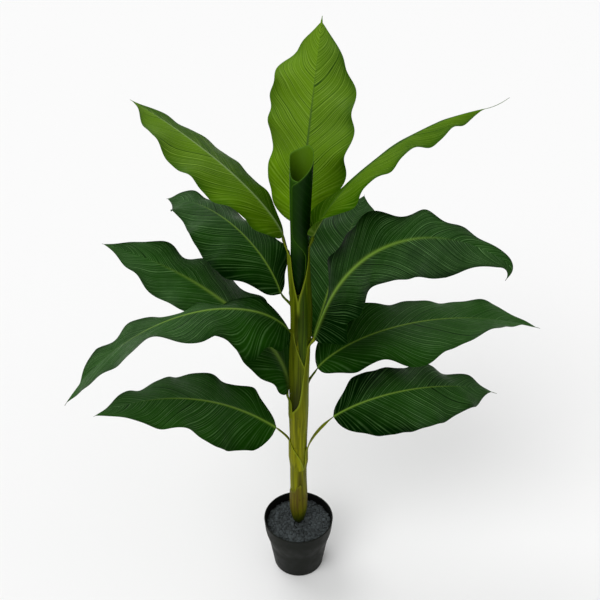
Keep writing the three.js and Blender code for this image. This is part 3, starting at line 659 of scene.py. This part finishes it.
# Sheaths and stalks: a crescent that clasps the cane, narrows upwards and leans out to its blade
sheathShape = {
    "sheathRows": 90, "stalkRows": 34, "columns": 61, "standOff": 0.4, "sunk": 0.9, "thick": 2.1,
    "footThick": 0.25, "marginThin": 0.45, "marginPower": 3, "bulgeLeast": 0.02, "rib": 0.1, "ribEvery": 2.4,
    "narrowing": 1.5, "leanPower": 1.3, "soften": 10, "softenPoints": 7, "softenUntil": 0.85,
    "stalkHalf": 5.2, "depthShare": 1.5, "reach": 0.4, "tuck": 9, "flattening": 2, "runOutFrom": 0.72,
    "runOut": 0.85,
    # marks: heights, shares of the half width, and strengths
    "greenFrom": [360, 460], "greenStalk": 0.6, "rim": [0.82, 0.98], "rimStalk": 0.2, "keelHalf": 2,
    "rimShadeFade": 25, "rimShadeReach": [0.6, 0.8], "sideLight": 0.5, "sideLightWide": [0.45, 0.95], "sideLightFrom": [380, 420],
}
# margin shade as [height, side, strength]: up to that height the margin on that side has painted shade in
# place of its pale rim; shade: heights over which a sheath's painted shade fades out upwards
claspPlain = {"foot": 0.45, "inset": 0, "lean": 0, "spring": 1, "slimBy": 0.75, "fresh": 1, "keel": 0,
              "rimShade": [0, 0, 0], "shade": [0, 1]}


def bezier(points, v):
    v = v[:, None]
    return ((1 - v) ** 3 * points[0] + 3 * (1 - v) ** 2 * v * points[1]
            + 3 * (1 - v) * v ** 2 * points[2] + v ** 3 * points[3])


def addStalk(leaf):
    # rows climb the cane with a shrinking half angle and may lean round it, then follow a smooth curve to
    # the blade's base; a row is an arc of that half angle, with u from -1 to 1 towards smaller bearings,
    # whose thickness fades to its margins and to the sheath's foot
    shape, clasp = sheathShape, {**claspPlain, **leaf["clasp"]}
    height = np.linspace(clasp["low"], clasp["top"], shape["sheathRows"])
    share = (height - clasp["low"]) / (clasp["top"] - clasp["low"])
    fromFoot = easeStep(share, 0, clasp["foot"])
    inner = caneRadius(np.minimum(height, caneShape["shoulder"])) + shape["standOff"] - clasp["inset"]
    inner = inner - shape["sunk"] * (1 - fromFoot)
    topAngle = clasp.get("open", math.degrees(shape["stalkHalf"] / inner[-1]))
    if "left" in clasp:
        spread = shape["soften"] * np.linspace(-1, 1, shape["softenPoints"])
        near = height[:, None] + spread * (1 - easeStep(share, shape["softenUntil"], 1))[:, None]
        leftSide, rightSide = [np.interp(near, *zip(*clasp[key])).mean(axis=1) for key in ("left", "right")]
        angle, facing = (rightSide - leftSide) / 2, (rightSide + leftSide) / 2
    else:
        angle = blend(clasp["wrap"], topAngle, 1 - (1 - share) ** shape["narrowing"])
        facing = clasp["turn"] + clasp["lean"] * (1 - share) ** shape["leanPower"]
    upright = np.full(shape["sheathRows"], 90.0)
    foot = ribFrame(upright, facing, 0 * upright)
    centre = np.stack([caneShift(height), 0 * height, height], axis=-1) - foot[2] * inner[:, None]
    v = np.linspace(0, 1, shape["stalkRows"] + 1)[1:]
    ease = easeStep(v, 0, 1)
    swing = bearingGap(leaf["turn"], clasp["turn"])
    stalk = ribFrame(blend(90, leaf["rise"], ease), clasp["turn"] + swing * ease, leaf["roll"] * ease)
    end = np.array(leaf["base"], float) + leafRule["shiftFoot"] * np.array(leaf["footShift"])
    reach = shape["reach"] * np.linalg.norm(end - centre[-1])
    path = bezier([centre[-1], centre[-1] + foot[0][-1] * (reach * clasp["spring"]),
                   end - stalk[0][-1] * reach, end + stalk[0][-1] * shape["tuck"]], v)
    stalkRadius = blend(inner[-1], shape["flattening"] * inner[-1], ease)
    runOut = 1 - shape["runOut"] * easeStep(v, shape["runOutFrom"], 1)
    slim = blend(math.radians(topAngle) * inner[-1], leaf["neck"], easeStep(v, 0, clasp["slimBy"]))
    centre = np.concatenate([centre, path])
    right = np.concatenate([foot[1], stalk[1]])[:, None]
    up = np.concatenate([foot[2], stalk[2]])[:, None]
    radius = np.concatenate([inner, stalkRadius])[:, None]
    angle = np.concatenate([angle, np.degrees(slim * runOut / stalkRadius)])
    thick = np.concatenate([shape["thick"] * blend(shape["footThick"], 1, fromFoot),
                            blend(shape["thick"], shape["depthShare"] * leaf["neck"], ease) * runOut])
    rounded = np.concatenate([0 * share, ease])[:, None]
    u = np.sin(np.linspace(-1, 1, shape["columns"]) * np.pi / 2)[None, :]
    bow = np.radians(angle)[:, None] * u
    arc = radius * bow
    offset, rise = radius * np.sin(bow), radius * (1 - np.cos(bow))
    upper = centre[:, None] + right * offset[..., None] + up * rise[..., None]
    inward = up * np.cos(bow)[..., None] - right * np.sin(bow)[..., None]
    flat = 1 - shape["marginThin"] * np.abs(u) ** shape["marginPower"]
    bulged = np.sqrt(np.maximum(shape["bulgeLeast"], 1 - u ** 2))
    depth = thick[:, None] * blend(flat, bulged, rounded)
    depth = depth + shape["rib"] * wave(arc / shape["ribEvery"]) * (1 - np.abs(u)) * (1 - rounded)
    lower = upper - inward * depth[..., None]
    # marks: fresher upwards, a pale rim, a pale keel on some, painted light where the sheath turns to the
    # sides, painted shade low down and on shaded margins
    level = centre[:, 2:3]
    climb = np.concatenate([0 * share, v])[:, None]
    green = np.maximum(easeStep(level, *shape["greenFrom"]), shape["greenStalk"] * climb)
    green = green * clasp["fresh"] + 0 * u
    edge = easeStep(np.abs(u), *shape["rim"]) * (1 - rounded) + shape["rimStalk"] * rounded
    edge = np.maximum(edge, clasp["keel"] * bell(arc, shape["keelHalf"]) * (1 - rounded))
    # painted shade on one margin up to a given height, where it takes the place of the pale rim
    rimShadeTop, rimShadeSide, rimShadeStrength = clasp["rimShade"]
    rimShade = 1 - easeStep(level, rimShadeTop, rimShadeTop + shape["rimShadeFade"])
    rimShade = rimShade * easeStep(rimShadeSide * u, *shape["rimShadeReach"])
    bearing = np.radians(np.concatenate([facing, 0 * v + clasp["turn"]]))[:, None] - bow
    # painted light: the sheath is paler where it turns to the left and right sides
    sideLit = easeStep(np.abs(np.cos(bearing)), *shape["sideLightWide"]) * easeStep(level, *shape["sideLightFrom"])
    edge = np.maximum(edge * (1 - rimShade), shape["sideLight"] * sideLit * (1 - rounded))
    # painted shade: the sheath darkens below its shade heights, in the recess between sheaths, and on a
    # shaded margin
    dark = 1 - easeStep(level, *clasp["shade"]) + rimShadeStrength * rimShade
    marks = {"edge": edge, "green": green, "dry": 0 * green, "shade": dark}
    name = leaf["name"]
    return addSkin("stem_" + name, upper, lower, marks, stemCloth, ["stalk_" + name])


for leaf in leaves:
    addStalk(leaf)
print("stage: eleven stalks")


# Dry sheath round the foot: a torn collar. torn: [depth, from, to] leftwards, teeth: [depth, count, start]
footShape = {
    "low": 107, "top": 226, "turn": 288, "wrap": 172, "taper": 0.1, "taperPower": 6, "rows": 70,
    "columns": 161, "rise": 36, "runOut": [0.02, 0.16], "torn": [[20, -0.05, 0.45], [14, 0.4, 1]],
    "teeth": [[2.4, 17, 1], [1.6, 41, 0], [0.9, 83, 2]], "standOff": 0.2, "sunk": 0.9, "thick": 1.2,
    "footThick": 0.3, "footReach": 0.2, "topThin": 0.6, "topPower": 5, "sideThin": 0.6, "sidePower": 12,
    "thinBy": 0.8, "thinOver": [0.45, 0.9], "groove": 0.15, "grooves": 140,
    # marks, by share of the height, by height or across
    "edge": 0.4, "edgeOver": [0.92, 1], "dryFoot": 0.1, "dryOver": [0.15, 0.55], "dryOut": 0.8,
    "dryOutOver": [0.45, 0.75], "green": 0.9, "greenOver": [0.05, 0.5], "groundShade": 0.95,
    "groundShadeOver": [105, 190], "crease": [0.4, 0.035, 0.045],
}


def addFootSheath():
    # bearing across and share of height up; the top is torn on the left, and on the right it climbs and
    # thins out
    shape = footShape
    share = np.linspace(0, 1, shape["rows"])[:, None]
    u = np.linspace(-1, 1, shape["columns"])[None, :]
    taper = 1 - shape["taper"] * share ** shape["taperPower"]
    bearing = np.radians(shape["turn"] + shape["wrap"] * u * taper)
    runOut = easeStep(u, *shape["runOut"])
    teeth = sum(depth * np.sin(count * u + start) for depth, count, start in shape["teeth"])
    torn = sum(depth * easeStep(-u, low, high) for depth, low, high in shape["torn"]) + teeth * (1 - runOut)
    height = blend(shape["low"], shape["top"] + shape["rise"] * runOut - torn, share)
    thinOut = runOut * easeStep(share, *shape["thinOver"])
    inner = caneRadius(height) + shape["standOff"] - shape["sunk"] * thinOut
    full = blend(shape["footThick"], 1, easeStep(share, 0, shape["footReach"]))
    full = full * (1 - shape["topThin"] * share ** shape["topPower"])
    full = full * (1 - shape["sideThin"] * np.abs(u) ** shape["sidePower"]) * (1 - shape["thinBy"] * thinOut)
    outer = inner + shape["thick"] * full + shape["groove"] * np.sin(shape["grooves"] * u)
    place = lambda radius: np.stack([radius * np.cos(bearing), radius * np.sin(bearing), height], axis=-1)
    dry = blend(shape["dryFoot"], 1, easeStep(share, *shape["dryOver"]))
    # painted shade: the foot sheath darkens towards the gravel, and in a band where its overlap meets its
    # right part
    creaseShade, creaseAt, creaseReach = shape["crease"]
    groundShade = shape["groundShade"] * (1 - easeStep(height, *shape["groundShadeOver"]))
    marks = {
        "edge": shape["edge"] * easeStep(share, *shape["edgeOver"]) * (1 - runOut),
        "green": shape["green"] * (1 - easeStep(share, *shape["greenOver"])) + 0 * u,
        "dry": dry * (1 - shape["dryOut"] * runOut * easeStep(share, *shape["dryOutOver"])),
        "shade": np.maximum(groundShade, creaseShade * bell(u - creaseAt, creaseReach)),
    }
    return addSkin("foot_wrap", place(outer), place(inner), marks, stemCloth, ["foot_sheath"])


addFootSheath()
print("stage: foot sheath")


# Rolled young leaf: a scroll that widens upwards to a mouth cut on a slant.
# profile: [share of height, radius], mouth: [bearing along the roll, height]
scrollShape = {
    "low": 660.3, "lean": 5, "forward": 4, "forwardBy": 0.4, "pitch": 0.14, "start": 400, "end": -138,
    "slip": 95, "slipOver": [0.3, 0.6], "thickShare": 0.05, "columns": 180, "rows": 90,
    "soften": 8, "softenPoints": 9,
    "profile": np.array([[0, 6.6], [0.1, 11], [0.2, 14.8], [0.3, 15.6], [0.42, 16], [0.6, 17.8], [0.8, 19.2],
                         [1, 20.2]]),
    "mouth": np.array([[-150, 858], [-132, 869], [-105, 876], [-60, 890], [-15, 905], [12, 918.5],
                       [52, 923.5], [102, 915.5], [170, 910], [192, 887], [210, 878], [240, 876],
                       [400, 868]]),
    # marks: veins by height and bearing, pale rims, fresher colour in the roll and at the free edge
    "veinRise": 16, "veinTurn": 43, "mouthRim": 0.985, "freeRim": 0.99, "freshRoll": [0.38, 0.5],
    "freshUp": [0.3, 0.6], "freshEdge": 0.35, "freshEdgeFrom": 0.85,
}
scrollLook = {
    "outside": colour(2, 22, 0), "outsideBright": colour(8, 38, 1), "fresh": colour(34, 68, 6),
    "inside": colour(66, 102, 3), "insidePale": colour(84, 118, 20), "vein": colour(30, 62, 16),
    "rim": colour(74, 116, 26), "rimShare": 0.5, "line": (0.0, 0.1, 0.3, 0.0), "patches": 14,
    "rough": (0.3, 0.7, 0.4, 0.54), "gloss": 0.06,
}


def scrollFinish(name):
    look = scrollLook
    finish, tree, shader = startFinish(name)
    inside, vein, edge, fresh = readMarks(tree, "inside", "vein", "edge", "fresh")
    patches = addNoise(tree, look["patches"], 3)
    line = mapRange(tree, doMath(tree, "PINGPONG", vein, 0.5), *look["line"])
    outer = mixColour(tree, patches, look["outside"], look["outsideBright"])
    outer = addCoats(tree, outer, [(fresh, look["fresh"]), (line, look["vein"])])
    inner = mixColour(tree, patches, look["inside"], look["insidePale"])
    cloth = addCoats(tree, outer, [(inside, inner), (times(tree, edge, look["rimShare"]), look["rim"])])
    grain = addNoise(tree, clothRule["grain"], 3)
    plug(tree, shader, {
        "Base Color": cloth, "Roughness": mapRange(tree, grain, *look["rough"]),
        "Specular IOR Level": look["gloss"],
        "Normal": addBump(tree, addNoise(tree, clothRule["weave"], 2), *clothRule["bump"]),
    })
    return finish


def addScroll():
    # spiral bearing across, share of height up: radius = profile * (1 - pitch * (1 - share of the roll));
    # the mouth's height is read from its list of bearings and softened; low down the free edge slips back
    shape = scrollShape
    v = np.linspace(0, 1, shape["rows"])[:, None]
    w = np.linspace(0, 1, shape["columns"])[None, :]
    outerRadius = np.interp(v, shape["profile"][:, 0], shape["profile"][:, 1])
    freeEdge = shape["end"] + shape["slip"] * (1 - easeStep(v, *shape["slipOver"]))
    bearing = blend(shape["start"], freeEdge, w)
    near = bearing[..., None] + shape["soften"] * np.linspace(-1, 1, shape["softenPoints"])
    mouth = np.interp(near, shape["mouth"][:, 0], shape["mouth"][:, 1]).mean(axis=-1)
    height = blend(shape["low"], mouth, v)
    rolled = (shape["start"] - bearing) / (shape["start"] - shape["end"])
    radius = outerRadius * (1 - shape["pitch"] * (1 - rolled))
    turn = np.radians(bearing)
    lean, forward = shape["lean"] * v, shape["forward"] * easeStep(v, 0, shape["forwardBy"])
    place = lambda r: np.stack([r * np.cos(turn) + lean, r * np.sin(turn) - forward, height], axis=-1)
    inRoll = (1 - easeStep(rolled, *shape["freshRoll"])) * easeStep(v, *shape["freshUp"])
    marks = {
        "inside": (0 * radius + 1, 0 * radius),
        "vein": height / shape["veinRise"] + bearing / shape["veinTurn"],
        "edge": np.maximum(easeStep(v, shape["mouthRim"], 1), easeStep(w, shape["freeRim"], 1)),
        "fresh": inRoll + shape["freshEdge"] * easeStep(w, shape["freshEdgeFrom"], 1),
    }
    return addSkin("young_scroll", place(radius - shape["thickShare"] * outerRadius), place(radius), marks,
                   scrollFinish("scrollCloth"), ["leaf_scroll"])


addScroll()
print("stage: scroll")


# Pot: foot, tapering wall, shoulder, collar and thin rim
potShape = {
    "height": 122, "rim": 70.3, "foot": 50.6, "footRound": 3, "wall": 2.6, "floor": 4, "taper": 0.15,
    "collarTaper": 0.08, "bendLow": 62, "bendHigh": 102, "lip": 1.3, "sides": 128, "footPoints": 8,
    "wallPoints": 49, "lipPoints": 9, "baseRing": 0.6, "floorRing": 20, "floorGap": 2, "floorIn": 1,
}
potLook = {
    "wall": colour(14, 17, 13), "worn": colour(23, 26, 21), "inside": colour(8, 10, 8), "mottle": 60,
    "wornRange": (0.35, 0.7, 0.0, 0.7), "rough": (0.3, 0.7, 0.5, 0.66), "gloss": 0.12,
    "grain": 900, "bump": (0.25, 0.0005),
}


def potFinish(name):
    look = potLook
    finish, tree, shader = startFinish(name)
    inside = readMarks(tree, "inside")[0]
    mottle = addNoise(tree, look["mottle"], 4)
    wall = mixColour(tree, mapRange(tree, mottle, *look["wornRange"]), look["wall"], look["worn"])
    # painted shade: the inside of the pot has a darker colour than the same plastic outside
    plug(tree, shader, {
        "Base Color": mixColour(tree, inside, wall, look["inside"]),
        "Roughness": mapRange(tree, mottle, *look["rough"]), "Specular IOR Level": look["gloss"],
        "Normal": addBump(tree, addNoise(tree, look["grain"], 3), *look["bump"]),
    })
    return finish


def potRadius(height):
    # outside: a tapering wall that bends out to a steeper collar
    shape = potShape
    wall = shape["foot"] + shape["taper"] * height
    collar = shape["rim"] - shape["collarTaper"] * (shape["height"] - height)
    return blend(wall, collar, easeStep(height, shape["bendLow"], shape["bendHigh"]))


def addPot():
    # profile of (radius, height): underside, rounded foot, outside, lip, inside, floor
    shape = potShape
    turn = np.linspace(0, np.pi / 2, shape["footPoints"])
    footCorner = np.stack([potRadius(shape["footRound"]) - shape["footRound"] * (1 - np.sin(turn)),
                           shape["footRound"] * (1 - np.cos(turn))], axis=-1)
    climb = np.linspace(shape["footRound"], shape["height"] - shape["lip"], shape["wallPoints"])[1:-1]
    wall = np.stack([potRadius(climb), climb], axis=-1)
    lipTurn = np.linspace(0, np.pi, shape["lipPoints"])
    lip = np.stack([shape["rim"] - shape["lip"] * (1 - np.cos(lipTurn)),
                    shape["height"] - shape["lip"] * (1 - np.sin(lipTurn))], axis=-1)
    outside = np.concatenate([[[0, 0], [footCorner[0, 0] * shape["baseRing"], 0]], footCorner, wall, lip])
    deep = wall[::-1]
    deep = deep[deep[:, 1] > shape["floor"] + shape["floorGap"]] - [shape["wall"], 0]
    floorRadii = [deep[-1, 0] - shape["floorIn"], shape["floorRing"], 0]
    inside = np.concatenate([deep, [[radius, shape["floor"]] for radius in floorRadii]])
    marks = {"inside": np.concatenate([np.zeros(len(outside)), np.ones(len(inside))])}
    profile = np.concatenate([outside, inside])
    return addTurned("pot_shell", profile, shape["sides"], marks, potFinish("potPlastic"), ["pot"])


addPot()
print("stage: pot")


# Fill: a level bed and loose dark stones pressed into it, slightly heaped round the cane
gravelShape = {
    "bedTop": 104.2, "bedLow": 94, "lowRadius": 63.5, "radius": 65.6, "bevel": 1, "bedRings": [40, 20],
    "bedSides": 96, "bedGrain": 0.1, "seed": 7, "spacing": 5.4, "rowStep": 0.866, "jitter": 1.9,
    "edgeClear": 2.2, "clear": 9, "mound": 3.2, "moundReach": 17, "lift": [-0.8, 1.2], "sunk": 3,
    # one stone: rings of points between two poles, dents, and ranges of size, breadth and height
    "rings": 7, "ringPoints": 10, "poleGap": 0.12, "dent": 0.13, "dentTurns": [3.1, 2.7], "dentStart": 6,
    "stone": 4.0, "size": [0.62, 1.3], "broad": [0.7, 1], "tall": [0.36, 0.6], "lean": 0.28,
    "grain": [0.1, 0.9],
}
gravelLook = {"dark": colour(45, 49, 49), "pale": colour(71, 77, 79), "speckle": 420, "speckled": 1.1,
              "rough": 0.85, "gloss": 0.15, "grain": 700, "bump": (0.5, 0.0008)}


def gravelFinish(name):
    look = gravelLook
    finish, tree, shader = startFinish(name)
    grain = readMarks(tree, "grain")[0]
    speckle = doMath(tree, "SUBTRACT", addNoise(tree, look["speckle"], 4), 0.5)
    shade = doMath(tree, "MULTIPLY_ADD", speckle, look["speckled"], grain)
    plug(tree, shader, {
        "Base Color": mixColour(tree, shade, look["dark"], look["pale"]), "Roughness": look["rough"],
        "Specular IOR Level": look["gloss"],
        "Normal": addBump(tree, addNoise(tree, look["grain"], 4), *look["bump"]),
    })
    return finish


def addGravel(finish):
    # one ball of rings and poles; each stone is that ball, dented by its own sines, stretched, tipped and
    # turned, and set on a jittered lattice
    shape = gravelShape
    dice = np.random.default_rng(shape["seed"])
    reach = int(shape["radius"] // shape["spacing"]) + 2
    i, j = np.meshgrid(np.arange(-reach, reach + 1), np.arange(-reach, reach + 1))
    x = (i + 0.5 * (j % 2)).ravel() * shape["spacing"]
    y = j.ravel() * shape["spacing"] * shape["rowStep"]
    x = x + dice.uniform(-shape["jitter"], shape["jitter"], x.size)
    y = y + dice.uniform(-shape["jitter"], shape["jitter"], y.size)
    far = np.hypot(x, y)
    keep = (far < shape["radius"] - shape["edgeClear"]) & (far > shape["clear"])
    x, y = x[keep], y[keep]
    count = x.size
    rings, ringPoints = shape["rings"], shape["ringPoints"]
    tilt = np.linspace(shape["poleGap"], np.pi - shape["poleGap"], rings)[:, None]
    spin = np.linspace(0, 2 * np.pi, ringPoints, endpoint=False)[None, :]
    ball = np.stack([np.sin(tilt) * np.cos(spin), np.sin(tilt) * np.sin(spin), np.cos(tilt) + 0 * spin],
                    axis=-1)
    ball = np.concatenate([ball.reshape(-1, 3), [[0, 0, 1], [0, 0, -1]]])
    dentX, dentY = [turns * ball[None, :, axis] + dice.uniform(0, shape["dentStart"], (count, 1))
                    for axis, turns in enumerate(shape["dentTurns"])]
    dent = 1 + shape["dent"] * np.sin(dentX) * np.cos(dentY)
    size = shape["stone"] * dice.uniform(*shape["size"], (count, 1))
    size = size * np.stack([np.ones(count), dice.uniform(*shape["broad"], count),
                            dice.uniform(*shape["tall"], count)], axis=-1)
    stones = ball[None] * dent[..., None] * size[:, None]
    heading = dice.uniform(0, 2 * np.pi, count)
    lean = dice.normal(0, shape["lean"], count)
    cosH, sinH, cosL, sinL = np.cos(heading), np.sin(heading), np.cos(lean), np.sin(lean)
    turnMatrix = np.stack([np.stack([cosH * cosL, -sinH, cosH * sinL], -1),
                           np.stack([sinH * cosL, cosH, sinH * sinL], -1),
                           np.stack([-sinL, 0 * sinL, cosL], -1)], axis=1)
    stones = np.einsum("nij,nmj->nmi", turnMatrix, stones)
    level = shape["bedTop"] + shape["mound"] * bell(np.hypot(x, y), shape["moundReach"])
    stones = stones + np.stack([x, y, level + dice.uniform(*shape["lift"], count)], axis=-1)[:, None]
    stones[..., 2] = np.maximum(stones[..., 2], shape["bedTop"] - shape["sunk"])
    points = len(ball)
    shift = (np.arange(count) * points)[:, None, None]
    ballFaces = [gridQuads(rings, ringPoints)[:, ::-1], fanTriangles(0, ringPoints, points - 2, False),
                 fanTriangles((rings - 1) * ringPoints, ringPoints, points - 1, True)]
    faces = [(group[None] + shift).reshape(-1, group.shape[1]) for group in ballFaces]
    grain = np.repeat(dice.uniform(*shape["grain"], count), points)
    return addPiece("gravel_stones", stones, faces, {"grain": grain}, finish, ["pot_fill"])


def addBed(finish):
    shape = gravelShape
    low, top, wide = shape["bedLow"], shape["bedTop"], shape["radius"]
    outerRing, innerRing = shape["bedRings"]
    profile = np.array([[0, low], [outerRing, low], [shape["lowRadius"], low], [wide, top - shape["bevel"]],
                        [wide - shape["bevel"], top], [outerRing, top], [innerRing, top], [0, top]])
    marks = {"grain": np.full(len(profile), shape["bedGrain"])}
    return addTurned("gravel_bed", profile, shape["bedSides"], marks, finish, ["pot_fill"])


gravelCoat = gravelFinish("gravelStone")
addGravel(gravelCoat)
addBed(gravelCoat)
print("stage: gravel")


# Floor, light and camera; lamps: [name, slant, turn, power, spread]
studio = {
    "camera": (0.003, -1.210, 1.408), "pitch": 57.8, "lens": 50, "sensor": 36, "world": 0.58,
    "lamps": [["keyLamp", 42, -38, 1.35, 40], ["backLamp", -38, 42, 0.9, 40]],
    "floor": 9.0, "floorBack": 14.4, "floorDrop": -0.0005, "floorTone": (0.86, 0.86, 0.86, 1),
    "floorRough": 0.9, "floorGloss": 0.1,
}


def addFloor():
    finish, tree, shader = startFinish("paleFloor")
    plug(tree, shader, {"Base Color": studio["floorTone"], "Roughness": studio["floorRough"],
                        "Specular IOR Level": studio["floorGloss"]})
    mesh = bpy.data.meshes.new("floor")
    reach, back, drop = studio["floor"], studio["floorBack"], studio["floorDrop"]
    corners = [(-reach, -reach, drop), (reach, -reach, drop), (reach, back, drop), (-reach, back, drop)]
    mesh.from_pydata(corners, [], [(0, 1, 2, 3)])
    mesh.materials.append(finish)
    floor = bpy.data.objects.new("floor", mesh)
    bpy.context.scene.collection.objects.link(floor)


def addLamp(name, slant, turn, power, spread):
    # wide soft light from far away: slant off the vertical, turned about it from the front
    lamp = bpy.data.lights.new(name, "SUN")
    lamp.energy = power
    lamp.angle = math.radians(spread)
    holder = bpy.data.objects.new(name, lamp)
    holder.rotation_euler = (math.radians(slant), 0, math.radians(turn))
    bpy.context.scene.collection.objects.link(holder)


def addCamera():
    lens = bpy.data.cameras.new("camera")
    lens.lens = studio["lens"]
    lens.sensor_width = studio["sensor"]
    camera = bpy.data.objects.new("camera", lens)
    camera.location = studio["camera"]
    camera.rotation_euler = (math.radians(studio["pitch"]), 0, 0)
    bpy.context.scene.collection.objects.link(camera)
    bpy.context.scene.camera = camera


addFloor()
for lampValues in studio["lamps"]:
    addLamp(*lampValues)
addCamera()
world = bpy.data.worlds.new("studioLight")
world.use_nodes = True
plug(world.node_tree, world.node_tree.nodes["Background"], {0: (1, 1, 1, 1), 1: studio["world"]})
bpy.context.scene.world = world
bpy.context.scene.view_settings.view_transform = "Standard"
print("stage: studio")
